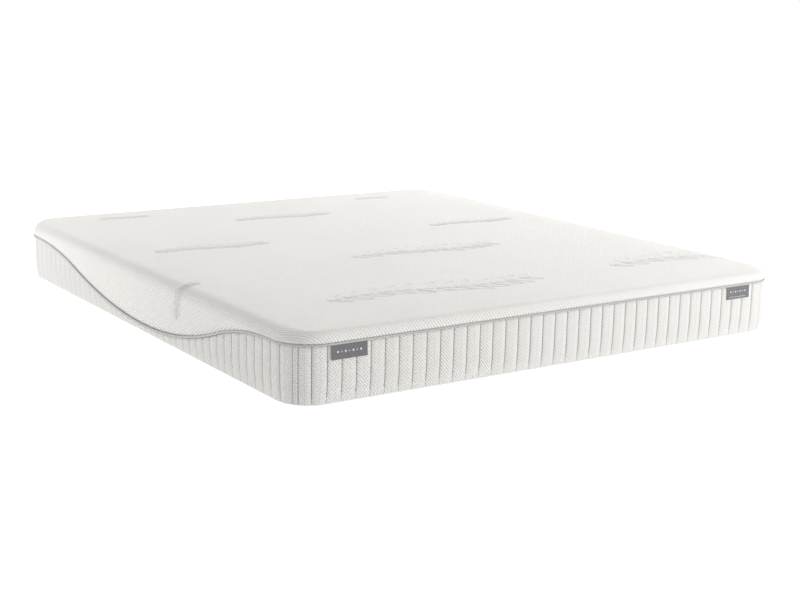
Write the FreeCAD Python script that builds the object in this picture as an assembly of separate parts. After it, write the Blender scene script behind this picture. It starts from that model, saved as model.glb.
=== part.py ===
"""Memory foam mattress: a foam core on a zip-off base, inside a quilted and piped cover.

X runs across the bed, Y from the foot end (-Y) to the head end (+Y) and Z up.
The origin is on the floor, under the middle of the mattress. Lengths are in millimetres.
An inset is a distance inwards from the cover's outer face, so a negative inset stands proud of it.
"""

import FreeCAD
import Part
import os
from math import atan2, cos, degrees, radians, sin

# Overall
width = 1800.0
length = 2000.0
height = 208.0
corner_radius = 110.0        # corners seen from above
edge_radius = 28.0           # roll of the top edge
hem_height = 4.5             # lower edge of the cover above the floor
hem_radius = 3.0             # roll of that lower edge

# Cover layers, from the outside in
knit_thickness = 3.0
wadding_thickness = 9.5
lining_thickness = 1.5
flap_thickness = 4.0         # border fabric that hangs over the zip
corner_strip_width = 15.0    # plain strip beside each corner seam
cover_clearance = 0.5        # between the cover's lining and the inner sleeve

# Core layers, from the floor up; the support foam takes what is left
base_panel_thickness = 3.0
sleeve_thickness = 1.0
transition_foam_thickness = 30.0
memory_foam_thickness = 50.0

# Piping, level round both ends and in a wave down each long side
piping_diameter = 6.5
piping_cord_diameter = 3.0
piping_cord_clearance = 0.05
piping_proud = 1.0           # its centre outside the cover's face
piping_flange_thickness = 1.0
piping_foot_height = 165.0
piping_head_height = 152.0
piping_low_height = 27.0
piping_low_y = -62.0
piping_run_in = 5.0          # level run between a corner and the wave
wave_crest_share = 0.4       # the crest's share of the two radii of each fall of the wave

# Woven labels hanging from the foot piping: distance of the near edge from the left side, width
label_height = 42.0
label_thickness = 1.2
label_tuck = 2.0             # how far the label reaches up behind the piping's edge
labels = {"label_left": (113.0, 112.0), "label_right": (1564.0, 99.0)}

# Zip round the base
zip_inset = 10.0             # the chain's middle plane
zip_height = 12.0            # the chain's middle line above the floor
zip_tape_thickness = 0.8
zip_tape_low = 0.5           # lower edge of the lower tape
coil_height = 2.4
coil_thickness = 2.0
coil_gap = 1.2               # between the two coils, where the slider's wedge runs
rebate_top = 22.0            # ceiling of the pocket that the zip lies in
zip_gap_width = 40.0         # break in the coils where the closed slider parks
slider_park_inset = 90.0     # parked slider from the end of the head end's straight run

# Slider and pull
slider_length = 16.0
slider_height = 11.0
slider_plate = 1.0
slider_clearance = 0.3       # between slider and coils
wedge_length = 4.0
ear_thickness = 1.2
ear_length = 3.2
pin_diameter = 1.2
pin_clearance = 0.08
pull_eye_diameter = 2.6
pull_eye_height = 2.2
pull_side_clearance = 0.2    # between the pull's eye and each ear
pull_stand_off = 0.4         # between the pull's eye and the slider's plate
pull_neck_length = 3.0
pull_length = 22.0
pull_width = 7.0
pull_thickness = 1.2
pull_hole_diameter = 3.0
stop_length = 2.0

far = 50.0                   # cutting solids reach this far past the mattress
tiny = 0.01                  # two lengths this close are the same

vector = FreeCAD.Vector
left, right = -1, 1
foot, head = -1, 1
x_axis, z_axis = vector(1, 0, 0), vector(0, 0, 1)
cover_thickness = knit_thickness + wadding_thickness + lining_thickness
sleeve_inset = cover_thickness + cover_clearance
core_inset = sleeve_inset + sleeve_thickness
core_bottom = base_panel_thickness + sleeve_thickness
sleeve_top = height - sleeve_inset
core_top = sleeve_top - sleeve_thickness
parts = {}


# ---------------------------------------------------------------- shapes that follow the outline

def outline(inset, z):
    """The mattress seen from above, moved in by inset, as a closed wire at height z."""
    x, y, r = width / 2 - inset, length / 2 - inset, corner_radius - inset
    cx, cy, diagonal = x - r, y - r, r * cos(radians(45))
    edges = []
    for sx, sy in ((right, foot), (right, head), (left, head), (left, foot)):
        ends = [vector(sx * cx, sy * y, z), vector(sx * x, sy * cy, z)]
        if sx * sy > 0:
            ends.reverse()
        middle = vector(sx * (cx + diagonal), sy * (cy + diagonal), z)
        edges.append(Part.Arc(ends[0], middle, ends[1]).toShape())
    corners = list(edges)
    for one, following in zip(corners, corners[1:] + corners[:1]):
        edges.append(Part.makeLine(one.lastVertex().Point, following.firstVertex().Point))
    return Part.Wire(Part.__sortEdges__(edges))


def block(inset, low, high, top_round=0.0, low_round=0.0):
    """A solid of the outline from low to high, with its top and bottom edges rolled over."""
    solid = Part.Face(outline(inset, low)).extrude(vector(0, 0, high - low))
    for level, radius in ((high, top_round), (low, low_round)):
        if radius:
            limits = [(e, e.BoundBox.ZMin, e.BoundBox.ZMax) for e in solid.Edges]
            rim = [e for e, z0, z1 in limits if abs(z0 - level) + abs(z1 - level) < tiny]
            solid = solid.makeFillet(radius, rim)
    return solid


def ring(outer_inset, inner_inset, low, high):
    """A wall that follows the outline."""
    return block(outer_inset, low, high).cut(block(inner_inset, low, high))


def box(x0, x1, y0, y1, z0, z1):
    return Part.makeBox(x1 - x0, y1 - y0, z1 - z0, vector(x0, y0, z0))


def prism(points, low, high):
    """An upright solid on a polygon of (x, y) points."""
    corners = [vector(x, y, low) for x, y in points]
    return Part.Face(Part.makePolygon(corners + corners[:1])).extrude(vector(0, 0, high - low))


def mirrored(solid):
    """The same solid on the other side of the bed."""
    return solid.mirror(vector(0, 0, 0), x_axis)


# ---------------------------------------------------------------- the piping's wave

def fall(y_high, z_high):
    """One fall of the wave, from level down to its low point: two arcs that meet at a common tangent."""
    drop, run = z_high - piping_low_height, abs(y_high - piping_low_y)
    angle = 2 * atan2(drop, run)
    both = run / sin(angle)
    crest_radius = wave_crest_share * both
    return crest_radius, both - crest_radius, degrees(angle)


side_end = length / 2 - corner_radius          # where the straight long side meets a corner
wave_foot, wave_head = piping_run_in - side_end, side_end - piping_run_in
foot_crest, foot_trough, foot_angle = fall(wave_foot, piping_foot_height)
head_crest, head_trough, head_angle = fall(wave_head, piping_head_height)
crest, trough = 1, -1
# Each arc: its centre (y, z) and radius, its first and last angle from +Z towards +Y, and how it bends
wave_arcs = [
    (wave_foot, piping_foot_height - foot_crest, foot_crest, 0.0, foot_angle, crest),
    (piping_low_y, piping_low_height + foot_trough, foot_trough, 180.0 + foot_angle, 180.0, trough),
    (piping_low_y, piping_low_height + head_trough, head_trough, 180.0, 180.0 - head_angle, trough),
    (wave_head, piping_head_height - head_crest, head_crest, -head_angle, 0.0, crest),
]


def on_arc(x, arc, angle, offset=0.0):
    cy, cz, radius, _, _, bend = arc
    reach = radius + bend * offset
    return vector(x, cy + reach * sin(radians(angle)), cz + reach * cos(radians(angle)))


def wave_side(offset, level):
    """Everything between the wave, moved up by offset, and the given level, right across the bed."""
    x, end = -width / 2 - far, length / 2 + far
    foot_end = vector(x, -end, piping_foot_height + offset)
    head_end = vector(x, end, piping_head_height + offset)
    foot_corner, head_corner = vector(x, -end, level), vector(x, end, level)
    arcs = []
    for arc in wave_arcs:
        first, last = arc[3], arc[4]
        points = [on_arc(x, arc, angle, offset) for angle in (first, (first + last) / 2, last)]
        arcs.append(Part.Arc(*points).toShape())
    edges = [Part.makeLine(foot_end, on_arc(x, wave_arcs[0], wave_arcs[0][3], offset)), *arcs]
    straight = [points[-1], head_end, head_corner, foot_corner, foot_end]
    edges += [Part.makeLine(one, following) for one, following in zip(straight, straight[1:])]
    return Part.Face(Part.Wire(edges)).extrude(vector(width + 2 * far, 0, 0))


def rod_along_piping(radius):
    """A round rod along the piping's whole path: straight runs and turns, each meeting the next squarely."""
    side_x, reach = width / 2 + piping_proud, corner_radius + piping_proud

    def disc(point, direction):
        return Part.Face(Part.Wire(Part.Circle(point, direction, radius).toShape()))

    def run(start, end):
        return disc(start, end - start).extrude(end - start)

    pieces = []
    both_ends = ((foot, piping_foot_height, wave_foot), (head, piping_head_height, wave_head))
    for end, z, wave_start in both_ends:
        centre = vector(side_x - reach, end * side_end, z)
        corner_start = centre + vector(0, end * reach, 0)
        pieces.append(run(vector(0, corner_start.y, z), corner_start))
        pieces.append(disc(corner_start, x_axis).revolve(centre, z_axis, -end * 90))
        pieces.append(run(vector(side_x, end * side_end, z), vector(side_x, wave_start, z)))
    for arc in wave_arcs:
        cy, cz, _, first, last, _ = arc
        tangent = vector(0, cos(radians(first)), -sin(radians(first)))
        section = disc(on_arc(side_x, arc, first), tangent)
        pieces.append(section.revolve(vector(side_x, cy, cz), x_axis, first - last))
    half = pieces[0].multiFuse(pieces[1:])
    return half.fuse(mirrored(half))


# ---------------------------------------------------------------- base and foam core

base_edge = zip_inset + zip_tape_thickness / 2
coil_low = zip_height - coil_gap / 2 - coil_height
coil_high = zip_height + coil_gap / 2 + coil_height

parts["base_panel"] = block(base_edge, 0.0, base_panel_thickness)

whole_core = block(core_inset, core_bottom, core_top, edge_radius - core_inset)
sleeve_outside = block(sleeve_inset, base_panel_thickness, sleeve_top, edge_radius - sleeve_inset)
parts["inner_sleeve"] = sleeve_outside.cut(whole_core)

memory_foam_bottom = core_top - memory_foam_thickness
transition_foam_bottom = memory_foam_bottom - transition_foam_thickness
for name, low, high in (("memory_foam", memory_foam_bottom, core_top),
                        ("transition_foam", transition_foam_bottom, memory_foam_bottom),
                        ("support_foam", core_bottom, transition_foam_bottom)):
    parts[name] = whole_core.common(box(-width, width, -length, length, low, high))


# ---------------------------------------------------------------- cover above the piping

cover_face = block(0.0, hem_height, height, edge_radius, hem_radius)


def behind(depth, low):
    """What lies behind the cover's outermost layers, depth thick together."""
    return block(depth, low, height - depth, edge_radius - depth)


behind_knit = behind(knit_thickness, hem_height)
behind_wadding = behind(knit_thickness + wadding_thickness, hem_height)
behind_lining = behind(cover_thickness, 0.0)
seam = piping_flange_thickness / 2
above_piping = wave_side(seam, height + far)
below_piping = wave_side(-seam, -far)
piping_rod = rod_along_piping(piping_diameter / 2)

parts["top_panel"] = cover_face.cut(behind_knit).common(above_piping).cut(piping_rod)
parts["top_wadding"] = behind_knit.cut(behind_wadding).common(above_piping)
parts["top_lining"] = behind_wadding.cut(behind_lining).common(above_piping)


# ---------------------------------------------------------------- piping

flange_band = wave_side(seam, -far).cut(below_piping)
parts["piping_flange"] = cover_face.cut(behind_lining).common(flange_band).cut(piping_rod)
parts["piping_casing"] = piping_rod.cut(rod_along_piping(piping_cord_diameter / 2 + piping_cord_clearance))
parts["piping_cord"] = rod_along_piping(piping_cord_diameter / 2)


# ---------------------------------------------------------------- border below the piping

rebate = block(flap_thickness, 0.0, rebate_top)
quilting = cover_face.cut(behind_wadding).common(below_piping).cut(piping_rod).cut(rebate)
backing = behind_wadding.cut(behind_lining).common(below_piping).cut(rebate)
seam_reach = corner_radius + far               # the corner seams' cutting planes run out this far


def corner(sx, sy, out=0.0, along=0.0):
    """A point at a corner's centre, moved out along its diagonal and sideways on to the long side."""
    diagonal = cos(radians(45))
    x = sx * (width / 2 - corner_radius + (out + along) * diagonal)
    y = sy * (length / 2 - corner_radius + (out - along) * diagonal)
    return x, y


def sector(first, last, along=0.0):
    """The part of the outline between two corner seams, less a strip beside each seam."""
    points = [corner(*first, 0.0, along), corner(*first, seam_reach, along)]
    points += [corner(*last, seam_reach, along), corner(*last, 0.0, along)]
    return prism(points, -far, height + far)


ends = {"foot": foot, "head": head}
sides = {"left": left, "right": right}
open_zip = box(-width, width, 0, length, -far, rebate_top)     # the head end shows its zip
for name, sy in ends.items():
    whole = sector((left, sy), (right, sy))
    if name == "head":
        whole = whole.cut(open_zip)
    parts["border_" + name] = quilting.common(whole)
    parts["border_lining_" + name] = backing.common(whole)
for name, sx in sides.items():
    parts["border_" + name] = quilting.common(sector((sx, foot), (sx, head), corner_strip_width))
    parts["border_lining_" + name] = backing.common(sector((sx, foot), (sx, head)))
    for end_name, sy in ends.items():
        strip = [corner(sx, sy), corner(sx, sy, seam_reach)]
        strip += [corner(sx, sy, seam_reach, corner_strip_width), corner(sx, sy, 0.0, corner_strip_width)]
        parts[f"corner_strip_{end_name}_{name}"] = quilting.common(prism(strip, -far, height + far))


# ---------------------------------------------------------------- woven labels

label_top = piping_foot_height - piping_diameter / 2 + label_tuck
for name, (edge, label_width) in labels.items():
    x, y = edge - width / 2, -length / 2
    plain = box(x, x + label_width, y - label_thickness, y, label_top - label_height, label_top)
    parts[name] = plain.cut(piping_rod)


# ---------------------------------------------------------------- zip tapes and coils

half_coil, half_tape = coil_thickness / 2, zip_tape_thickness / 2
slider_x = corner_radius - width / 2 + slider_park_inset
chain_y = length / 2 - zip_inset
park = box(slider_x - zip_gap_width / 2, slider_x + zip_gap_width / 2, 0, length, 0, height)
coil_line = (zip_inset - half_coil, zip_inset + half_coil)
tape_line = (zip_inset - half_tape, zip_inset + half_tape)
parts["zip_tape_lower"] = ring(*tape_line, zip_tape_low, coil_low)
parts["zip_coil_lower"] = ring(*coil_line, coil_low, coil_low + coil_height).cut(park)
parts["zip_coil_upper"] = ring(*coil_line, coil_high - coil_height, coil_high).cut(park)
parts["zip_tape_upper"] = ring(*tape_line, coil_high, rebate_top).cut(park)


def on_chain(x0, x1, y0, y1, z0, z1):
    """A block at the parked slider: x along the chain, y out from it and z up from its middle line."""
    x, y, z = slider_x, chain_y, zip_height
    return box(x + x0, x + x1, y + y0, y + y1, z + z0, z + z1)


stop_x = -zip_gap_width / 2
parts["zip_stop"] = on_chain(stop_x, stop_x + stop_length, -half_coil, half_coil,
                             -coil_gap / 2 - coil_height, coil_gap / 2)


# ---------------------------------------------------------------- zip slider, its pin and its pull

def upright(radius, y, low, high):
    """A round post across the slider, at y out from the chain."""
    return Part.makeCylinder(radius, high - low, vector(slider_x, chain_y + y, zip_height + low))


def rounded(plate, radius):
    """The plate with its four corners rounded, as seen looking at the mattress's end."""
    thickness = plate.BoundBox.YLength
    return plate.makeFillet(radius, [e for e in plate.Edges if abs(e.BoundBox.YLength - thickness) < tiny])


half_length, half_height = slider_length / 2, slider_height / 2
plate_near = half_coil + slider_clearance
plate_face = plate_near + slider_plate
plates = [on_chain(-half_length, half_length, near, near + slider_plate, -half_height, half_height)
          for near in (-plate_face, plate_near)]
plates = [rounded(plate, half_height / 2) for plate in plates]
wedge_half, wedge_x = coil_gap / 2 - slider_clearance, slider_plate - half_length
wedge = on_chain(wedge_x, wedge_x + wedge_length, -plate_near, plate_near, -wedge_half, wedge_half)
slider = wedge.multiFuse(plates)

pin_y = plate_face + pull_stand_off + pull_eye_diameter / 2
half_eye = pull_eye_height / 2
ear_near = half_eye + pull_side_clearance
ear_far = ear_near + ear_thickness
for low, high in ((-ear_far, -ear_near), (ear_near, ear_far)):
    root = on_chain(-ear_length / 2, ear_length / 2, plate_face, pin_y, low, high)
    slider = slider.fuse(root).fuse(upright(ear_length / 2, pin_y, low, high))
parts["pull_pin"] = upright(pin_diameter / 2, pin_y, -ear_far, ear_far)
parts["zip_slider"] = slider.cut(parts["pull_pin"])

tab_y = (pin_y - pull_thickness / 2, pin_y + pull_thickness / 2)
neck = on_chain(0, pull_neck_length, *tab_y, -half_eye, half_eye)
tab = rounded(on_chain(pull_neck_length, pull_length, *tab_y, -pull_width / 2, pull_width / 2), pull_width / 4)
hole_place = vector(slider_x + pull_length - pull_width / 2, chain_y + tab_y[0], zip_height)
tab = tab.cut(Part.makeCylinder(pull_hole_diameter / 2, pull_thickness, hole_place, vector(0, 1, 0)))
pull = upright(pull_eye_diameter / 2, pin_y, -half_eye, half_eye).multiFuse([neck, tab])
parts["zip_pull"] = pull.cut(upright(pin_diameter / 2 + pin_clearance, pin_y, -half_eye, half_eye))


# ---------------------------------------------------------------- files

os.makedirs("parts", exist_ok=True)
for name, shape in parts.items():
    solids = shape.Solids
    sound = shape.isValid() and all(s.isClosed() for s in solids)
    print(f"{name:26s} solids {len(solids)} volume {shape.Volume / 1000:12.3f} cm3 {'ok' if sound else 'BAD'}")
    kept = solids[0] if len(solids) == 1 else Part.makeCompound(solids)
    kept.exportStep(f"parts/{name}.step")
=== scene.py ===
"""A memory foam mattress: knitted top, wave-shaped piping, quilted border, zip and foam core. Metres.

An inset is a distance inwards from the cover's outer face. The outline is walked anticlockwise seen from
above, from the middle of the foot end, so a distance round it grows to the right for someone facing it.
"""

from math import atan2, ceil, copysign, cos, hypot, pi, radians, sin, sqrt

import bmesh
import bpy
from mathutils import Matrix, Vector, noise


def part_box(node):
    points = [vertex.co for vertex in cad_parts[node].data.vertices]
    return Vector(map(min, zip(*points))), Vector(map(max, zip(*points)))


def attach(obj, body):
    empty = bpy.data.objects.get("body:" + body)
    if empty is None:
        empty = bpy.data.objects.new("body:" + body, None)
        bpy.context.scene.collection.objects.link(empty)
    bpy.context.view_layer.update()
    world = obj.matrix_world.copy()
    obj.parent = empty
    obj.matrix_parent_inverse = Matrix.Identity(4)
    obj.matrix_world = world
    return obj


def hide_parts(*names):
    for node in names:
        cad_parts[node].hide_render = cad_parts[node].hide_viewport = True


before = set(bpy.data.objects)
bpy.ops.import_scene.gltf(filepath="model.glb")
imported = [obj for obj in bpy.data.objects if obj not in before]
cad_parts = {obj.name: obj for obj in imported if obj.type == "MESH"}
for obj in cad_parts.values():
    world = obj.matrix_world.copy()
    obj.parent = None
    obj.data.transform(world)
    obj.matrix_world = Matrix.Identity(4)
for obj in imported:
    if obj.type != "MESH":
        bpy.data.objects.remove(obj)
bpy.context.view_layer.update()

scene = bpy.context.scene

# ------------------------------------------------------------ studio
# A camera standing off the near left corner, over a glowing white sweep. A dome gives even light; one big
# panel behind the right side grades the top, and two small ones light the left side and the foot end.

cover_low, cover_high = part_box("top_panel")
width, length, height = cover_high.x - cover_low.x, cover_high.y - cover_low.y, cover_high.z

camera_azimuth, camera_elevation, camera_roll = radians(-33.79), radians(12.84), radians(1.04)
camera_distance = 4.989
camera_right_shift, camera_up_shift = 0.0774, -0.1024
camera_target = Vector((0, 0, 0.1009))
camera_lens = 64.65

back = Vector((sin(camera_azimuth) * cos(camera_elevation),
               -cos(camera_azimuth) * cos(camera_elevation), sin(camera_elevation)))
level_right = Vector((cos(camera_azimuth), sin(camera_azimuth), 0))
level_up = back.cross(level_right)
view_right = level_right * cos(camera_roll) + level_up * sin(camera_roll)
view_up = level_up * cos(camera_roll) - level_right * sin(camera_roll)
camera = bpy.data.objects.new("camera", bpy.data.cameras.new("camera"))
scene.collection.objects.link(camera)
camera.data.lens, camera.data.sensor_width = camera_lens, 36.0
camera.data.clip_end = 500.0
place = camera_target + view_right * camera_right_shift + view_up * camera_up_shift + back * camera_distance
camera.matrix_world = Matrix.Translation(place) @ Matrix((view_right, view_up, back)).transposed().to_4x4()
scene.camera = camera
scene.view_settings.view_transform = "Standard"

dome_high, dome_horizon = (0.69, 0.676, 0.658, 1.0), (1.0, 1.0, 1.0, 1.0)
dome_grey_from, dome_grey_full = 0.02, 0.22  # where the dome starts to grey above its horizon, and stops
world = bpy.data.worlds.new("studio_dome")
world.use_nodes = True
dome = world.node_tree.nodes
sky = dome.new("ShaderNodeTexCoord")
height_of = dome.new("ShaderNodeSeparateXYZ")
climb = dome.new("ShaderNodeMapRange")
grade = dome.new("ShaderNodeMix")
grade.data_type = "RGBA"
climb.inputs["From Min"].default_value = dome_grey_from
climb.inputs["From Max"].default_value = dome_grey_full
grade.inputs[6].default_value = dome_horizon
grade.inputs[7].default_value = dome_high
world.node_tree.links.new(sky.outputs["Generated"], height_of.inputs[0])
world.node_tree.links.new(height_of.outputs["Z"], climb.inputs["Value"])
world.node_tree.links.new(climb.outputs["Result"], grade.inputs[0])
world.node_tree.links.new(grade.outputs[2], dome["Background"].inputs["Color"])
scene.world = world


def soft_panel(name, at, aim, size, power):
    """A square soft box at one point, aimed at another."""
    lamp = bpy.data.lights.new(name, "AREA")
    lamp.size, lamp.energy = size, power
    holder = bpy.data.objects.new(name, lamp)
    scene.collection.objects.link(holder)
    holder.location = at
    holder.rotation_euler = (Vector(aim) - Vector(at)).to_track_quat("-Z", "Y").to_euler()


soft_panel("key_panel", (4.6, 2.9, 2.6), (0.0, 0.1, 0.2), 2.6, 340.0)
soft_panel("left_panel", (-2.6, 1.6, 0.9), (-0.9, 0.5, 0.1), 1.2, 29.0)
soft_panel("foot_panel", (1.8, -3.2, 1.1), (0.0, -1.0, 0.1), 1.0, 54.0)

floor_size, floor_grey, floor_glow = 240.0, (0.30, 0.30, 0.30, 1.0), 0.88
bm = bmesh.new()
bmesh.ops.create_grid(bm, x_segments=8, y_segments=8, size=floor_size / 2)
sweep_mesh = bpy.data.meshes.new("studio_floor")
bm.to_mesh(sweep_mesh)
bm.free()
studio_floor = bpy.data.objects.new("studio_floor", sweep_mesh)
scene.collection.objects.link(studio_floor)
sweep = bpy.data.materials.new("white_sweep")
sweep.use_nodes = True
sweep_shader = sweep.node_tree.nodes["Principled BSDF"].inputs
sweep_shader["Base Color"].default_value = floor_grey
sweep_shader["Roughness"].default_value = 1.0
sweep_shader["Specular IOR Level"].default_value = 0.0
sweep_shader["Emission Color"].default_value = (1.0, 1.0, 1.0, 1.0)
sweep_shader["Emission Strength"].default_value = floor_glow
sweep_mesh.materials.append(sweep)


# ------------------------------------------------------------ knitted top panel
# One piece of white stretch knit pulled over the top and down each side to the piping, with a fine
# diagonal rib. It is gently crowned, softer towards its edges, and turns over them in a roll that is wide
# along the sides and tight at the ends. Its lower edge is sewn in with the piping.

corner_radius = 0.110
knit_thickness = 0.003
roll_in, roll_down = 0.052, 0.029            # along the sides the edge turns in a quarter of this ellipse
end_roll = 0.018                             # and at the ends in a quarter circle, after a level part
edge_drop, edge_softness = 0.0048, 0.12      # how far the top falls at its edge, and over what width
top_allowance = 0.0007                       # room for the foam's slight unevenness
waver_scale, waver_fade = 2.3, 0.1           # how close together that is, and how far in it is full
skirt_bow, seam_tuck = 0.0022, 0.0016        # the skirt stands out in the middle and is drawn in below
piping_radius, seam_gap = 0.00325, 0.0005
piping_foot_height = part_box("border_foot")[1].z + seam_gap
piping_head_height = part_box("border_head")[1].z + seam_gap
piping_low_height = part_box("piping_casing")[0].z + piping_radius
piping_low_y = -0.062                        # where the piping is lowest on the long sides
piping_run_in, crest_share = 0.005, 0.4      # its level start there, and the crests' share of each fall
knit_end = piping_radius * 0.5               # how far above the piping's middle the knit ends
half_width, half_length = width / 2, length / 2
corner_x, corner_y = half_width - corner_radius, half_length - corner_radius
flat_reach = corner_radius - roll_in         # from a corner's centre to the start of the roll
roll_length = sqrt((roll_in ** 2 + roll_down ** 2) / 2) * pi / 2
edge_z = height - edge_drop - top_allowance
edge_slope = 2 * edge_drop / edge_softness


def outward(x, y):
    """The nearest point of the corner centres' rectangle, and the direction from it out to (x, y)."""
    cx, cy = max(-corner_x, min(corner_x, x)), max(-corner_y, min(corner_y, y))
    reach = hypot(x - cx, y - cy)
    if reach < 1e-9:
        return cx, cy, 0.0, 0.0, 0.0
    return cx, cy, (x - cx) / reach, (y - cy) / reach, reach


def piping_height(y):
    """How high the piping runs at y: level at the ends, with two falls to its low point between them."""
    towards_head = y > piping_low_y
    high = piping_head_height if towards_head else piping_foot_height
    end = (corner_y - piping_run_in) if towards_head else -(corner_y - piping_run_in)
    drop, run = high - piping_low_height, abs(end - piping_low_y)
    angle = 2 * atan2(drop, run)
    crest = crest_share * run / sin(angle)
    trough = run / sin(angle) - crest
    from_end = max(0.0, abs(end - piping_low_y) - abs(y - piping_low_y))
    if from_end < crest * sin(angle):
        return high - crest + sqrt(crest ** 2 - from_end ** 2)
    from_low = abs(y - piping_low_y)
    return piping_low_height + trough - sqrt(trough ** 2 - from_low ** 2)


def top_height(x, y):
    """The sleeping surface: highest in the middle, falling off over its soft edges."""
    cx, cy, _, _, reach = outward(x, y)
    inside = min(half_width - roll_in - abs(cx), half_length - roll_in - abs(cy)) - corner_radius
    from_edge = flat_reach - reach if reach > 0 else flat_reach + roll_in + inside
    fall = max(0.0, 1 - from_edge / edge_softness)
    waver = noise.noise(Vector((x * waver_scale, y * waver_scale, 0.7))) * top_allowance
    waver *= min(1.0, max(0.0, from_edge) / waver_fade)
    return height - top_allowance - edge_drop * fall ** 2 + waver


def roll_at(ny):
    """The roll where outward has this y: its level part, reach and fall, and the height it turns at."""
    level = (roll_in - end_roll) * ny * ny
    fall = roll_down + (end_roll - roll_down) * ny * ny
    return level, roll_in - level, fall, edge_z - edge_slope * level / 2


def fold_over(u, v, lift=0.0):
    """A point of the flat knit, laid over the top, the roll and the skirt; lift is off its surface."""
    cx, cy, nx, ny, reach = outward(u, v)
    past = reach - flat_reach
    if past <= 0:
        return Vector((u, v, top_height(u, v) + lift))
    level, in_reach, fall, turn_z = roll_at(ny)
    if past < roll_length:
        arc = sqrt((in_reach ** 2 + fall ** 2) / 2) * pi / 2
        along = past / roll_length * (level + arc)
        if along < level:
            out, z = flat_reach + along, edge_z + lift - edge_slope * (along - along ** 2 / (2 * level))
        else:
            turn = (along - level) / arc * pi / 2
            out = flat_reach + level + (in_reach + lift) * sin(turn)
            z = turn_z - fall + (fall + lift) * cos(turn)
        return Vector((cx + nx * out, cy + ny * out, z))
    down = past - roll_length
    low = piping_height(cy) + knit_end
    share = min(1.0, down / max(1e-6, turn_z - fall - low))
    out = corner_radius + lift + skirt_bow * sin(pi * share) - seam_tuck * share ** 6
    return Vector((cx + nx * out, cy + ny * out, turn_z - fall - down))


def extend(bm, edges):
    """Draws new faces out from edges, and returns the edges and the vertices of their far side."""
    grown = bmesh.ops.extrude_edge_only(bm, edges=edges)["geom"]
    far_edges = [part for part in grown if isinstance(part, bmesh.types.BMEdge)]
    return far_edges, [part for part in grown if isinstance(part, bmesh.types.BMVert)]


def link(name, bm, material, body, smooth=True):
    """Closes a bmesh into a named piece with its material, riding on a body."""
    mesh = bpy.data.meshes.new(name)
    bm.to_mesh(mesh)
    bm.free()
    piece = bpy.data.objects.new(name, mesh)
    scene.collection.objects.link(piece)
    mesh.polygons.foreach_set("use_smooth", [smooth] * len(mesh.polygons))
    mesh.materials.append(material)
    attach(piece, body)
    return piece


class Nodes:
    """A short way to write a material's node tree."""

    def __init__(self, name, roughness, specular=0.3, sheen=0.0, metallic=0.0):
        self.material = bpy.data.materials.new(name)
        self.material.use_nodes = True
        self.tree = self.material.node_tree
        self.shader = self.tree.nodes["Principled BSDF"]
        self.shader.inputs["Roughness"].default_value = roughness
        self.shader.inputs["Specular IOR Level"].default_value = specular
        self.shader.inputs["Sheen Weight"].default_value = sheen
        self.shader.inputs["Metallic"].default_value = metallic

    def add(self, kind, settings=(), **inputs):
        node = self.tree.nodes.new(kind)
        for name, value in dict(settings).items():
            setattr(node, name, value)
        for name, value in inputs.items():
            self.feed(node.inputs[name.replace("_", " ")], value)
        return node

    def feed(self, socket, value):
        if isinstance(value, bpy.types.NodeSocket):
            self.tree.links.new(value, socket)
        else:
            socket.default_value = value

    def maths(self, operation, first, second=0.0, third=0.0):
        node = self.add("ShaderNodeMath", {"operation": operation})
        self.feed(node.inputs[0], first)
        self.feed(node.inputs[1], second)
        self.feed(node.inputs[2], third)
        return node.outputs[0]

    def wave(self, along, pitch, shift=0.0):
        """0 in a groove and 1 on a ridge, every pitch."""
        turns = self.maths("MULTIPLY_ADD", along, 2 * pi / pitch, shift)
        return self.maths("MULTIPLY_ADD", self.maths("SINE", turns), 0.5, 0.5)

    def mix(self, share, low, high):
        node = self.add("ShaderNodeMix", {"data_type": "RGBA"})
        self.feed(node.inputs[0], share)
        self.feed(node.inputs[6], low)
        self.feed(node.inputs[7], high)
        return node.outputs[2]

    def cloth_place(self, turn=0.0):
        """The piece's flat cloth coordinates, in metres, turned; returns the vector, x and y."""
        cloth = self.add("ShaderNodeUVMap", {"uv_map": "cloth"}).outputs["UV"]
        mapping = self.add("ShaderNodeMapping", Vector=cloth)
        mapping.inputs["Rotation"].default_value = (0, 0, turn)
        split = self.add("ShaderNodeSeparateXYZ", Vector=mapping.outputs["Vector"])
        return mapping.outputs["Vector"], split.outputs["X"], split.outputs["Y"]

    def noise(self, vector, scale, detail=3.0):
        node = self.add("ShaderNodeTexNoise", Vector=vector, Scale=scale, Detail=detail)
        return node.outputs["Fac"]

    def finish(self, colour, relief, depth):
        """Colour, and a bump of relief (0 to 1) that is depth metres deep."""
        self.feed(self.shader.inputs["Base Color"], colour)
        bump = self.add("ShaderNodeBump", Height=relief, Distance=depth)
        self.feed(self.shader.inputs["Normal"], bump.outputs["Normal"])
        return self.material


def ribbed_knit(name, rib_pitch, stitch_pitch, rib_angle, groove, ridge, depth):
    """White knit with ribs of small stitches, each rib's stitches half a step on from the last's."""
    n = Nodes(name, roughness=0.92, specular=0.15, sheen=0.2)
    place, across, along = n.cloth_place(-rib_angle)
    rib = n.wave(across, rib_pitch)
    stitch = n.wave(along, stitch_pitch, n.maths("MULTIPLY", across, pi / rib_pitch))
    relief = n.maths("MULTIPLY", n.maths("POWER", rib, 0.8), n.maths("MULTIPLY_ADD", stitch, 0.55, 0.45))
    relief = n.maths("MULTIPLY_ADD", n.noise(place, 1400.0), 0.25, relief)
    shade = n.maths("MULTIPLY", relief, n.maths("MULTIPLY_ADD", n.noise(place, 3.0), 0.3, 0.75))
    return n.finish(n.mix(shade, groove, ridge), relief, depth)


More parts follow.
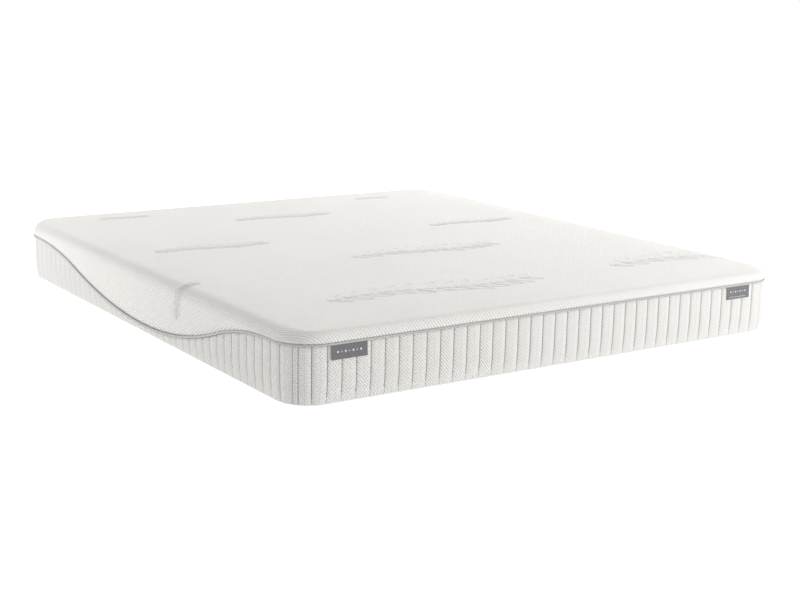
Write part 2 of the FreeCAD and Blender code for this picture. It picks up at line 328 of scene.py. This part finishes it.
knit_shadow, knit_light = (0.68, 0.665, 0.648, 1), (0.96, 0.95, 0.937, 1)
rib_pitch, stitch_pitch, rib_angle, rib_depth = 0.0084, 0.0056, radians(32), 0.0034
top_knit = ribbed_knit("top_knit", rib_pitch, stitch_pitch, rib_angle, knit_shadow, knit_light, rib_depth)

top_columns, top_rows, roll_steps, skirt_steps = 150, 166, 9, 14


def to_outline(a, b):
    """A point of a square from -1 to 1, on the top inside the roll; its corners become round."""
    x, y = a * (corner_x + flat_reach), b * (corner_y + flat_reach)
    over_x, over_y = (abs(x) - corner_x) / flat_reach, (abs(y) - corner_y) / flat_reach
    if over_x > 0 and over_y > 0:
        round_x = over_x * sqrt(1 - over_y ** 2 / 2)
        round_y = over_y * sqrt(1 - over_x ** 2 / 2)
        x = copysign(corner_x + flat_reach * round_x, x)
        y = copysign(corner_y + flat_reach * round_y, y)
    return x, y


bm = bmesh.new()
bmesh.ops.create_grid(bm, x_segments=top_columns, y_segments=top_rows, size=1.0)
flat_place = {}
for vertex in bm.verts:
    flat_place[vertex] = to_outline(vertex.co.x, vertex.co.y)
rim = [edge for edge in bm.edges if edge.is_boundary]
for step in range(1, roll_steps + skirt_steps + 1):
    rim, grown = extend(bm, rim)
    for vertex in grown:
        cx, cy, nx, ny, _ = outward(*to_outline(vertex.co.x, vertex.co.y))
        _, _, fall, turn_z = roll_at(ny)
        reach = flat_reach + roll_length * min(1.0, step / roll_steps)
        skirt = turn_z - fall - piping_height(cy) - knit_end
        reach += skirt * max(0, step - roll_steps) / skirt_steps
        flat_place[vertex] = (cx + nx * reach, cy + ny * reach)
cloth = bm.loops.layers.uv.new("cloth")
for face in bm.faces:
    for loop in face.loops:
        loop[cloth].uv = flat_place[loop.vert]
for vertex, (u, v) in flat_place.items():
    vertex.co = fold_over(u, v)
bmesh.ops.recalc_face_normals(bm, faces=bm.faces)
top = link("top_cover", bm, top_knit, "cover")
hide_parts("top_panel")
wall = top.modifiers.new("knit_thickness", "SOLIDIFY")
wall.thickness, wall.offset = knit_thickness, -1.0


# ------------------------------------------------------------ raised motifs
# Leafy sprigs that the knitting machine raises out of the top panel, scattered over it in rows and running
# on over its edges. Each has paired leaves along a waving stem, shorter towards both ends.

motif_line, motif_rise, motif_sink = 0.0034, 0.0015, 0.0006
leaf_pairs, leaf_points = 12, 24
leaf_shortest, leaf_gain = 0.085, 0.065      # a leaf's length at a sprig's ends, and its gain in the middle
leaf_slimness, leaf_point = 0.24, 0.4        # its width for its length, and how drawn out its ends are
leaf_spread, leaf_sway = 33, 5               # how far it leans from the stem, and how much that varies
stem_wave, stem_start = 0.035, 0.56
leaf_clearance, tip_clearance = 0.012, 0.02  # what a leaf keeps from the piping, and its tip
motif_shadow, motif_light = (0.62, 0.61, 0.595, 1), (0.86, 0.85, 0.84, 1)
motif_knit = ribbed_knit("motif_knit", 0.0024, 0.0030, 0.0, motif_shadow, motif_light, 0.0005)
# The middle of each sprig across and along the bed, and its length.
motif_places = [(-0.248, -0.729, 0.735), (0.806, -0.730, 0.735), (0.060, -0.218, 0.570),
                (-0.945, -0.310, 0.230), (-0.548, 0.160, 0.405), (0.525, 0.167, 0.360),
                (-0.045, 0.587, 0.390), (-0.578, 0.832, 0.195), (0.495, 0.818, 0.150)]
flat_edge = flat_reach + roll_length


def skirt_room(u, v):
    """How much skirt is left between a point of the flat knit and the piping."""
    _, cy, _, ny, reach = outward(u, v)
    _, _, fall, turn_z = roll_at(ny)
    skirt = turn_z - fall - piping_height(cy) - piping_radius
    return flat_edge + skirt - reach


def leaf(bm, at, direction, long, wide, line):
    """The raised outline of a leaf, laid flat: pointed at both ends, it lies along direction from at."""
    along = Vector((cos(direction), sin(direction), 0.0))
    aside = Vector((-along.y, along.x, 0.0))
    inner = bmesh.ops.create_circle(bm, segments=leaf_points, radius=1.0)["verts"]
    first_edges = list({edge for vertex in inner for edge in vertex.link_edges})
    edges, rings = first_edges, [inner]
    for _ in range(2):
        edges, grown = extend(bm, edges)
        rings.append(grown)
    for ring, grow, lift in zip(rings, (0.0, line / 2, line), (-motif_sink, motif_rise, -motif_sink)):
        for vertex in ring:
            turn = atan2(vertex.co.y, vertex.co.x)
            side = (wide / 2 * abs(sin(turn)) ** leaf_point + grow) * sin(turn)
            vertex.co = at + along * (long / 2 - (long / 2 + grow) * cos(turn)) + aside * side
            vertex.co.z = lift
    bmesh.ops.bridge_loops(bm, edges=first_edges + edges)


bm = bmesh.new()
for middle_x, middle_y, motif_width in motif_places:
    line = motif_line * min(1.0, 0.4 + motif_width)
    for pair in range(leaf_pairs):
        along = (pair + 0.5) / leaf_pairs
        x = middle_x + motif_width * (along - stem_start)
        y = middle_y + motif_width * stem_wave * sin(2 * pi * along)
        long = motif_width * (leaf_shortest + leaf_gain * sin(pi * along))
        if skirt_room(x, y) < long + leaf_clearance or skirt_room(x + long, y) < tip_clearance:
            continue
        for side in (1, -1):
            foot = Vector((x, y + side * line * 1.3, 0.0))
            lean = radians(side * (leaf_spread + leaf_sway * sin(pair * 2.0)))
            leaf(bm, foot, lean, long, long * leaf_slimness, line)
        stem_length = motif_width / leaf_pairs * 0.7
        leaf(bm, Vector((x, y, 0.0)), 0.0, stem_length, line * 1.1, line * 0.5)
cloth = bm.loops.layers.uv.new("cloth")
for face in bm.faces:
    for loop in face.loops:
        loop[cloth].uv = loop.vert.co.xy
for vertex in bm.verts:
    vertex.co = fold_over(*vertex.co)
bmesh.ops.recalc_face_normals(bm, faces=bm.faces)
motifs = link("raised_motifs", bm, motif_knit, "cover")


# ------------------------------------------------------------ wadding, linings and core
# Under the knit lie fibre wadding and a lining, which come off with it. The core is memory foam, transition
# foam and support foam, glued in a stack, in a thin knitted sleeve. What lies over the transition foam
# follows the crown of the top, and the two lower foams are cut flat.

def plain_cloth(name, low, high, roughness, grain, depth, sheen=0.1):
    """A cloth, fibre or foam surface: a mottled colour and a fine grain, the same size on every piece."""
    n = Nodes(name, roughness=roughness, specular=0.2, sheen=sheen)
    place = n.add("ShaderNodeTexCoord").outputs["Object"]
    fine = n.noise(place, grain, 5.0)
    broad = n.noise(place, 9.0)
    share = n.maths("MULTIPLY_ADD", fine, 0.6, n.maths("MULTIPLY", broad, 0.4))
    return n.finish(n.mix(share, low, high), fine, depth)


def cell_foam(name, low, high, cell, depth):
    """Open-celled foam, cut with a hot wire: small round cells of uneven size."""
    n = Nodes(name, roughness=0.95, specular=0.15, sheen=0.15)
    place = n.add("ShaderNodeTexCoord").outputs["Object"]
    cells = n.add("ShaderNodeTexVoronoi", Vector=place, Scale=1 / cell).outputs["Distance"]
    broad = n.noise(place, 6.0)
    share = n.maths("MULTIPLY", cells, n.maths("MULTIPLY_ADD", broad, 0.6, 0.9))
    return n.finish(n.mix(share, low, high), cells, depth)


wadding_fibre = plain_cloth("wadding_fibre", (0.80, 0.80, 0.79, 1), (0.93, 0.93, 0.92, 1),
                            roughness=0.95, grain=420.0, depth=0.002)
lining_cloth = plain_cloth("lining_cloth", (0.66, 0.66, 0.65, 1), (0.80, 0.80, 0.79, 1),
                           roughness=0.9, grain=1500.0, depth=0.0004)
sleeve_knit = plain_cloth("sleeve_knit", (0.72, 0.71, 0.68, 1), (0.86, 0.85, 0.82, 1),
                          roughness=0.9, grain=900.0, depth=0.0006, sheen=0.3)
memory_cells = cell_foam("memory_cells", (0.78, 0.70, 0.50, 1), (0.90, 0.85, 0.68, 1),
                         cell=0.0016, depth=0.0005)
transition_cells = cell_foam("transition_cells", (0.52, 0.66, 0.72, 1), (0.70, 0.81, 0.85, 1),
                             cell=0.0024, depth=0.0007)
support_cells = cell_foam("support_cells", (0.66, 0.66, 0.66, 1), (0.84, 0.84, 0.83, 1),
                          cell=0.0030, depth=0.0009)
layer_columns, layer_rows, layer_roll_steps, side_steps = 60, 66, 6, 3


def core_layer(name, node, material, body, depth=None, open_below=False, wall=0.0):
    """A layer inside its CAD box; if it has a depth, it is crowned and lies that far below the knit."""
    low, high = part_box(node)
    reach = corner_radius - (half_width - high.x)
    flat, steps = (reach, 0) if depth is None else (flat_reach, layer_roll_steps)
    bm = bmesh.new()
    bmesh.ops.create_grid(bm, x_segments=layer_columns, y_segments=layer_rows, size=1.0)
    for vertex in bm.verts:
        x, y = to_outline(vertex.co.x, vertex.co.y)
        cx, cy, nx, ny, out = outward(x, y)
        out *= flat / flat_reach
        vertex.co = (cx + nx * out, cy + ny * out, high.z if depth is None else top_height(x, y) - depth)
    rim = [edge for edge in bm.edges if edge.is_boundary]
    for step in range(1, steps + side_steps + 1):
        rim, grown = extend(bm, rim)
        for vertex in grown:
            cx, cy, nx, ny, _ = outward(vertex.co.x, vertex.co.y)
            out, z = reach, high.z
            if steps:
                turn = pi / 2 * min(1.0, step / steps)
                out = flat + (reach - flat) * sin(turn)
                z = edge_z - roll_down + (roll_down - depth) * cos(turn)
            if step > steps:
                bottom = piping_height(cy) if open_below else low.z
                z = bottom + (z - bottom) * (steps + side_steps - step) / side_steps
            vertex.co = (cx + nx * out, cy + ny * out, z)
    if not open_below:
        bmesh.ops.holes_fill(bm, edges=rim, sides=0)
    bmesh.ops.recalc_face_normals(bm, faces=bm.faces)
    piece = link(name, bm, material, body)
    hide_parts(node)
    if wall:
        shell = piece.modifiers.new("wall", "SOLIDIFY")
        shell.thickness, shell.offset = wall, -1.0


core_layer("wadding", "top_wadding", wadding_fibre, "cover",
           depth=0.0035, open_below=True, wall=0.0088)
core_layer("cover_lining", "top_lining", lining_cloth, "cover",
           depth=0.0127, open_below=True, wall=0.0012)
core_layer("core_sleeve", "inner_sleeve", sleeve_knit, "base", depth=0.0149, wall=0.0009)
core_layer("memory_layer", "memory_foam", memory_cells, "base", depth=0.0161)
core_layer("transition_layer", "transition_foam", transition_cells, "base")
core_layer("support_layer", "support_foam", support_cells, "base")


# ------------------------------------------------------------ quilted border
# Four lengths of white jacquard knit, stitched through fibre into upright channels that puff out between
# their seams. Each is sewn under the piping above and rolls under to the zip below.

channel_pitch = 0.0451
foot_seam = -half_width + 0.1049             # the first channel seam from the left of the foot end
side_seam = half_length - 0.1576             # the first channel seam from the head on a long side
seam_clearance = 0.012                       # the least from a channel seam to the end of its length
puff_depth, end_puff, strip_puff, quilt_thickness = 0.0082, 0.0034, 0.0030, 0.0030
puff_fullness = 2.6                          # above 2, a channel's round is flatter in its middle
pinch_reach, pinch_share = 0.011, 0.45       # how far below the piping the channels are flattened
border_tuck = piping_radius * 0.6            # how far below the piping's middle the border ends
hem_roll, hem_inset, hem_curve = 0.060, 0.0072, 1.7
head_hem_roll, head_hem_inset = 0.010, 0.0018
corner_fullness = 0.7                        # how much less the hem rolls under at a corner
back_limit = 0.0086                          # how far in its back may come beside the zip
zip_margin, hem_margin = 0.004, 0.0002
cord_pitch, lozenge_pitch, quilt_relief = 0.0068, 0.0066, 0.0042
stitch_length, stitch_shadow = 0.0045, (0.50, 0.486, 0.468, 1)
thread_reach = 0.0011                        # how far the stitches' shadow lies each side of a seam
zip_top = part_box("zip_tape_upper")[1].z
corner_strip = 0.015
quarter_turn = corner_radius * pi / 2
foot_span, side_span = 2 * corner_x, 2 * corner_y
walk = 2 * (foot_span + side_span) + 4 * quarter_turn
mid_corner = [corner_x + quarter_turn / 2]
for span in (side_span, foot_span, side_span):
    mid_corner.append(mid_corner[-1] + span + quarter_turn)


def on_outline(round_by, inset):
    """The point a distance round the outline at an inset, and the way straight out from it."""
    left_to_go = (round_by + foot_span / 2) % walk
    for corner, (sx, sy) in enumerate(((1, -1), (1, 1), (-1, 1), (-1, -1))):
        span = (foot_span, side_span)[corner % 2]
        turn = radians(-90 + 90 * corner)
        short = max(0.0, span - left_to_go)
        turn += max(0.0, min(left_to_go - span, quarter_turn)) / corner_radius
        if left_to_go < span + quarter_turn or corner == 3:
            break
        left_to_go -= span + quarter_turn
    nx, ny = cos(turn), sin(turn)
    cx, cy = sx * corner_x + short * ny, sy * corner_y - short * nx
    reach = corner_radius - inset
    return cx + nx * reach, cy + ny * reach, nx, ny


def quilt_fabric(name, cord_angle, low, high):
    """White jacquard knit: rows of small lozenges on a diagonal, each half a step on from the last."""
    n = Nodes(name, roughness=0.9, specular=0.15, sheen=0.2)
    place, across, along = n.cloth_place(-cord_angle)
    cord = n.wave(across, cord_pitch)
    lozenge = n.wave(along, lozenge_pitch, n.maths("MULTIPLY", across, pi / cord_pitch))
    relief = n.maths("MULTIPLY_ADD", cord, 0.55, n.maths("MULTIPLY", lozenge, 0.45))
    relief = n.maths("MULTIPLY_ADD", n.noise(place, 1500.0), 0.2, n.maths("POWER", relief, 1.3))
    patchy = n.maths("MULTIPLY_ADD", n.noise(place, 60.0), 0.5, 0.62)
    # Painted shade: the cloth's colour darkens into the grooves of its pattern, and in random patches as
    # well.
    cloth = n.mix(n.maths("MULTIPLY", relief, patchy), low, high)
    # Painted shade of the stitched groove along each channel seam, darker in dashes where the stitches are.
    seam = n.add("ShaderNodeSeparateXYZ", Vector=n.add("ShaderNodeUVMap", {"uv_map": "seam"}).outputs["UV"])
    away = n.maths("ABSOLUTE", seam.outputs["X"])
    shade_from, shade_full = thread_reach * 2.2, thread_reach * 0.6
    stitched = n.add("ShaderNodeMapRange", Value=away, From_Min=shade_from, From_Max=shade_full)
    stitch = n.wave(seam.outputs["Y"], stitch_length)
    shadow = n.maths("MULTIPLY", stitched.outputs["Result"], n.maths("MULTIPLY_ADD", stitch, 0.3, 0.6))
    return n.finish(n.mix(shadow, cloth, stitch_shadow), relief, quilt_relief)


def border_point(round_by, rise, share, relief, hem_z, roll, hem):
    """A point of the border, and its wall there: rise is 0 at the hem and 1 at the piping."""
    _, y, nx, ny = on_outline(round_by, corner_radius)
    hem *= 1 - corner_fullness * 2 * abs(nx * ny)
    top = piping_height(y) - border_tuck
    tall = top - hem_z
    z = hem_z + tall * rise
    roll = min(roll, tall * 0.75)
    under = max(0.0, 1 - (z - hem_z) / roll)
    pinch = 1 - min(1.0, (top - z) / min(pinch_reach, tall * 0.3))
    swell = sqrt(max(0.0, 1 - abs(2 * share - 1) ** puff_fullness)) * (1 - pinch_share * pinch ** 2)
    inset = hem * under ** hem_curve + relief * (1 - swell)
    wall = quilt_thickness
    if z < zip_top + zip_margin and hem_z < zip_top:
        inset = min(inset, hem_inset + hem_margin)
        wall = min(wall, back_limit - inset)
    x, y, nx, ny = on_outline(round_by, inset)
    return Vector((x, y, z)), Vector((nx, ny, 0)) * wall


channel_shares = (0.0, 0.02, 0.06, 0.14, 0.26, 0.42, 0.58, 0.74, 0.86, 0.94, 0.98)
rises = (0.0, 0.015, 0.04, 0.07, 0.10, 0.14, 0.18, 0.23, 0.29, 0.36, 0.44, 0.52, 0.60, 0.68, 0.76, 0.83,
         0.88, 0.92, 0.95, 0.975, 0.99, 1.0)


def border_length(name, node, start, end, first_seam, material, plain=False):
    """One length of border from start to end round the outline: a pad quilted between its seams."""
    seams, seam = [start], first_seam
    seam -= ceil((first_seam - start) / channel_pitch) * channel_pitch
    while seam < end - seam_clearance and not plain:
        if seam > start + seam_clearance:
            seams.append(seam)
        seam += channel_pitch
    seams.append(end)
    columns = []
    for near, far in zip(seams, seams[1:]):
        near_puff = strip_puff if plain else end_puff if near == start else puff_depth
        far_puff = strip_puff if plain else end_puff if far == end else puff_depth
        for share in channel_shares:
            reach = (far - near) * share
            from_seam = reach if share < 0.5 else reach - (far - near)
            columns.append((near + reach, share, near_puff + (far_puff - near_puff) * share, from_seam))
    columns.append((end, 0.0, far_puff, 0.0))
    at_head = node == "border_head"
    hem_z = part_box(node)[0].z
    roll, hem = (head_hem_roll, head_hem_inset) if at_head else (hem_roll, hem_inset)
    bm = bmesh.new()
    bmesh.ops.create_grid(bm, x_segments=len(columns) - 1, y_segments=len(rises) - 1, size=1.0)
    cloth, seam_side = bm.loops.layers.uv.new("cloth"), bm.loops.layers.uv.new("seam")
    placed = {}
    for vertex in bm.verts:
        round_by, share, relief, from_seam = columns[round((vertex.co.x + 1) / 2 * (len(columns) - 1))]
        rise = rises[round((vertex.co.y + 1) / 2 * (len(rises) - 1))]
        point, wall = border_point(round_by, rise, share, relief, hem_z, roll, hem)
        placed[vertex] = round_by, from_seam, point, wall
    for vertex, (_, _, point, _) in placed.items():
        vertex.co = point
    for face in bm.faces:
        for loop in face.loops:
            round_by, from_seam, point, _ = placed[loop.vert]
            loop[cloth].uv = round_by, point.z
            loop[seam_side].uv = from_seam, point.z
    walls = {tuple(vertex.co): wall for vertex, (_, _, _, wall) in placed.items()}
    inner = bmesh.ops.extrude_face_region(bm, geom=bm.faces[:], use_keep_orig=True)["geom"]
    for vertex in (part for part in inner if isinstance(part, bmesh.types.BMVert)):
        vertex.co -= walls[tuple(vertex.co)]
    bmesh.ops.recalc_face_normals(bm, faces=bm.faces)
    piece = link(name, bm, material, "cover")
    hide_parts(node)


quilt_shade_and_mottle, quilt_high = (0.70, 0.684, 0.662, 1), (0.98, 0.968, 0.950, 1)
end_quilt = quilt_fabric("end_quilt", radians(40), quilt_shade_and_mottle, quilt_high)
side_quilt = quilt_fabric("side_quilt", radians(-40), quilt_shade_and_mottle, quilt_high)
right_middle, head_middle, left_middle = ((a + b) / 2 for a, b in zip(mid_corner, mid_corner[1:]))
border_length("quilt_foot", "border_foot", mid_corner[3] - walk, mid_corner[0], foot_seam, end_quilt)
border_length("quilt_head", "border_head", mid_corner[1], mid_corner[2],
              head_middle + foot_seam - round(half_width / channel_pitch) * channel_pitch, end_quilt)
side_start = side_seam - round(2 * half_length / channel_pitch) * channel_pitch
border_length("quilt_right", "border_right", mid_corner[0] + corner_strip, mid_corner[1] - corner_strip,
              right_middle + side_start, side_quilt)
border_length("quilt_left", "border_left", mid_corner[2] + corner_strip, mid_corner[3] - corner_strip,
              left_middle - side_seam, side_quilt)
strip_knit = quilt_fabric("strip_knit", radians(84), quilt_shade_and_mottle, quilt_high)
for name, start in (("foot_right", mid_corner[0]), ("head_right", mid_corner[1] - corner_strip),
                    ("head_left", mid_corner[2]), ("foot_left", mid_corner[3] - corner_strip)):
    border_length("strip_" + name, "corner_strip_" + name, start, start + corner_strip, 0.0, strip_knit,
                  plain=True)


# ------------------------------------------------------------ piping
# A grey satin strip cut on the bias and folded round a cord, sewn in between the knit and the border.
# Its stitched edges lie above and below the round of the cord. The satin's colour is painted darker there
# as painted shade, and lighter where it faces straight out as a painted highlight.

piping_proud, piping_segments, piping_step = 0.0010, 14, 0.0125
piping_twill, piping_painted_shade, piping_painted_light = 0.0016, (0.27, 0.265, 0.263, 1), (0.47, 0.462, 0.457, 1)
slope_step = 0.001                           # the line's slope is measured this far each way
n = Nodes("piping_satin", roughness=0.5, specular=0.4, sheen=0.3)
_, along, around = n.cloth_place()
twill = n.wave(n.maths("ADD", along, around), piping_twill)
# Painted shade and painted highlight: the casing is lightest facing straight out and darkens as it turns up
# and down round the cord.
painted_round_light = n.wave(around, 2 * pi * piping_radius / 1.5, pi / 2)
tone = n.maths("MULTIPLY_ADD", painted_round_light, 0.8, n.maths("MULTIPLY", twill, 0.15))
piping_satin = n.finish(n.mix(tone, piping_painted_shade, piping_painted_light), twill, 0.0002)


def piping_point(round_by, turn):
    """A point on the casing: turn is 0 straight out from the mattress and grows upwards."""
    x, y, nx, ny = on_outline(round_by, -piping_proud)
    _, line_y, _, _ = on_outline(round_by, corner_radius)
    slope = 0.0
    if abs(nx) > 0.999:
        slope = piping_height(line_y + slope_step) - piping_height(line_y - slope_step)
        slope /= 2 * slope_step
    up = 1 / sqrt(1 + slope ** 2)
    out, rise = piping_radius * cos(turn), piping_radius * sin(turn)
    return Vector((x + nx * out, y + ny * out - slope * up * rise, piping_height(line_y) + up * rise))


bm = bmesh.new()
first_ring = bmesh.ops.create_circle(bm, segments=piping_segments, radius=1.0)["verts"]
turns = {vertex: atan2(vertex.co.y, vertex.co.x) for vertex in first_ring}
marks = {vertex: 0.0 for vertex in first_ring}
first_edges = edges = bm.edges[:]
stops = round(walk / piping_step)
for stop in range(1, stops):
    edges, grown = extend(bm, edges)
    for vertex in grown:
        turns[vertex], marks[vertex] = atan2(vertex.co.y, vertex.co.x), walk * stop / stops
        vertex.co.z = 1.0
bmesh.ops.bridge_loops(bm, edges=first_edges + edges)
cloth = bm.loops.layers.uv.new("cloth")
for face in bm.faces:
    last_face = max(marks[loop.vert] for loop in face.loops) > walk * (1 - 1.5 / stops)
    under_face = max(turns[loop.vert] for loop in face.loops) > pi * 0.9
    for loop in face.loops:
        along = marks[loop.vert] + (walk if last_face and marks[loop.vert] == 0.0 else 0.0)
        turn = turns[loop.vert] + (2 * pi if under_face and turns[loop.vert] < 0 else 0.0)
        loop[cloth].uv = (along, turn * piping_radius)
for vertex in bm.verts:
    vertex.co = piping_point(marks[vertex], turns[vertex])
bmesh.ops.recalc_face_normals(bm, faces=bm.faces)
piping = link("piping", bm, piping_satin, "cover")
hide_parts("piping_casing")


# ------------------------------------------------------------ woven labels
# Two slate-grey ribbon tags, tucked into the seam under the piping at the foot end. Lozenges are woven
# into each in pale thread, and the right one has a pale line near its lower edge as well.

label_thickness, label_clear = 0.0008, 0.0003
label_flare, label_ripple = 0.0016, 0.0003   # how far its free edge stands off, and follows the channels
weft_pitch, warp_pitch = 0.0006, 0.0008
lozenge_count, lozenge_spread = 7, 0.74      # in a row that takes this share of the label's width
lozenge_sizes = (0.60, 0.36)                 # large and small by turns, as shares of the step between them
lozenge_raise = 0.003                        # a row over a line is this much above the middle
line_height, line_width, thread_proud = 0.0065, 0.0009, 0.0002
n = Nodes("label_weave", roughness=0.6, specular=0.35, sheen=0.2)
place = n.add("ShaderNodeTexCoord").outputs["Object"]
split = n.add("ShaderNodeSeparateXYZ", Vector=place).outputs
weft = n.wave(split["Z"], weft_pitch)
warp = n.wave(split["X"], warp_pitch, n.maths("MULTIPLY", split["Z"], pi / weft_pitch))
thread = n.maths("MULTIPLY_ADD", n.noise(place, 700.0), 0.4, n.maths("MULTIPLY", weft, warp))
label_weave = n.finish(n.mix(thread, (0.085, 0.085, 0.092, 1), (0.20, 0.20, 0.212, 1)), thread, 0.0002)
label_thread = plain_cloth("label_thread", (0.50, 0.50, 0.51, 1), (0.78, 0.78, 0.78, 1),
                           roughness=0.6, grain=1800.0, depth=0.0002)


def thicken(bm, by):
    """Gives flat faces a far side and the walls between."""
    far = bmesh.ops.extrude_face_region(bm, geom=bm.faces[:], use_keep_orig=True)["geom"]
    bmesh.ops.translate(bm, verts=[part for part in far if isinstance(part, bmesh.types.BMVert)], vec=by)
    bmesh.ops.recalc_face_normals(bm, faces=bm.faces)


def woven_label(name, node, lined):
    """A hanging ribbon tag that stands a little off the border at its free edge, with woven lozenges."""
    low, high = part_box(node)
    face_y = high.y - label_clear - label_thickness
    middle, wide, tall = (low + high) / 2, high.x - low.x, high.z - low.z

    def hung(x, z, lift=0.0):
        """A point on the tag's face, or lift in front of it."""
        free = (high.z - z) / tall
        ripple = label_ripple * sin((x - low.x) * 2 * pi / channel_pitch) * free
        return Vector((x, face_y - label_flare * free ** 2 - ripple - lift, z))

    bm = bmesh.new()
    bmesh.ops.create_grid(bm, x_segments=28, y_segments=12, size=0.5)
    for vertex in bm.verts:
        vertex.co = hung(middle.x + vertex.co.x * wide, middle.z + vertex.co.y * tall)
    thicken(bm, (0, label_thickness, 0))
    tag = link(name, bm, label_weave, "cover", smooth=False)
    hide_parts(node)

    bm = bmesh.new()
    row_z = middle.z + (lozenge_raise if lined else 0.0)
    step = wide * lozenge_spread / lozenge_count
    for count in range(lozenge_count):
        lozenge = bmesh.ops.create_grid(bm, x_segments=2, y_segments=2, size=0.5)["verts"]
        size = step * lozenge_sizes[count % 2]
        for vertex in lozenge:
            u, v = vertex.co.x + vertex.co.y, vertex.co.y - vertex.co.x
            x = middle.x + (count - (lozenge_count - 1) / 2) * step + u * size / 2
            vertex.co = hung(x, row_z + v * size / 2, thread_proud)
    if lined:
        line = bmesh.ops.create_grid(bm, x_segments=28, y_segments=1, size=0.5)["verts"]
        for vertex in line:
            x = middle.x + vertex.co.x * step * lozenge_count
            vertex.co = hung(x, low.z + line_height + vertex.co.y * line_width, thread_proud)
    thicken(bm, (0, label_thickness / 2, 0))
    woven = link(name + "_lozenges", bm, label_thread, "cover", smooth=False)


woven_label("label_by_corner", "label_left", lined=False)
woven_label("label_at_right", "label_right", lined=True)


# ------------------------------------------------------------ base panel
# Dark non-slip fabric under the whole mattress, glued to the core and stitched to the lower zip tape.
# Its edge shows as a thin dark line under the border.

base_cloth = plain_cloth("base_cloth", (0.05, 0.05, 0.055, 1), (0.13, 0.13, 0.14, 1),
                         roughness=0.85, grain=700.0, depth=0.0006)
base_low, base_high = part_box("base_panel")
base_reach = corner_radius - (half_width - base_high.x)
bm = bmesh.new()
bmesh.ops.create_grid(bm, x_segments=layer_columns, y_segments=layer_rows, size=1.0)
for vertex in bm.verts:
    cx, cy, nx, ny, out = outward(*to_outline(vertex.co.x, vertex.co.y))
    out *= base_reach / flat_reach
    vertex.co = (cx + nx * out, cy + ny * out, base_low.z)
thicken(bm, (0, 0, base_high.z - base_low.z))
base = link("base_fabric", bm, base_cloth, "base", smooth=False)
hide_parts("base_panel")


# ------------------------------------------------------------ zip, cord and border linings
# A coil zip runs right round behind the border's hem and shows at the head end, where its slider is, so
# that the cover comes off. White woven tapes, nylon coils, a nickel slider with its pull, and a stop. The
# piping's cotton cord, its sewn-in flange and the border's linings are hidden by the pieces over them.

tape_weave = plain_cloth("tape_weave", (0.62, 0.61, 0.60, 1), (0.84, 0.83, 0.82, 1),
                         roughness=0.8, grain=1900.0, depth=0.0003)
cord_cotton = plain_cloth("cord_cotton", (0.70, 0.69, 0.66, 1), (0.86, 0.85, 0.82, 1),
                          roughness=0.9, grain=1300.0, depth=0.0004)
flange_satin = plain_cloth("flange_satin", (0.30, 0.30, 0.30, 1), (0.46, 0.46, 0.46, 1),
                           roughness=0.6, grain=1700.0, depth=0.0002)
coil_pitch, coil_shadow, coil_light = 0.0016, (0.36, 0.36, 0.36, 1), (0.86, 0.86, 0.85, 1)
n = Nodes("coil_nylon", roughness=0.4, specular=0.5)
split = n.add("ShaderNodeSeparateXYZ", Vector=n.add("ShaderNodeTexCoord").outputs["Object"]).outputs
coil_turns = n.wave(n.maths("ADD", split["X"], split["Y"]), coil_pitch)
coil_nylon = n.finish(n.mix(coil_turns, coil_shadow, coil_light), coil_turns, 0.0008)
stroke_scale = (120.0, 2500.0, 2500.0)       # brushed along the zip: long strokes, close together
n = Nodes("brushed_nickel", roughness=0.34, specular=0.5, metallic=1.0)
place = n.add("ShaderNodeTexCoord").outputs["Object"]
strokes = n.add("ShaderNodeMapping", Vector=place, Scale=stroke_scale).outputs["Vector"]
brushing = n.noise(strokes, 1.0)
brushed_nickel = n.finish(n.mix(brushing, (0.55, 0.54, 0.52, 1), (0.78, 0.77, 0.75, 1)), brushing, 0.00003)


def dress(material, *nodes):
    """Gives CAD nodes, whose shape is right as it is, their finished material."""
    for node in nodes:
        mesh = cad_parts[node].data
        mesh.materials.clear()
        mesh.materials.append(material)


dress(tape_weave, "zip_tape_lower", "zip_tape_upper")
dress(coil_nylon, "zip_coil_lower", "zip_coil_upper")
dress(brushed_nickel, "zip_slider", "pull_pin", "zip_pull", "zip_stop")
dress(cord_cotton, "piping_cord")
dress(flange_satin, "piping_flange")
dress(lining_cloth, *("border_lining_" + side for side in ("foot", "head", "left", "right")))
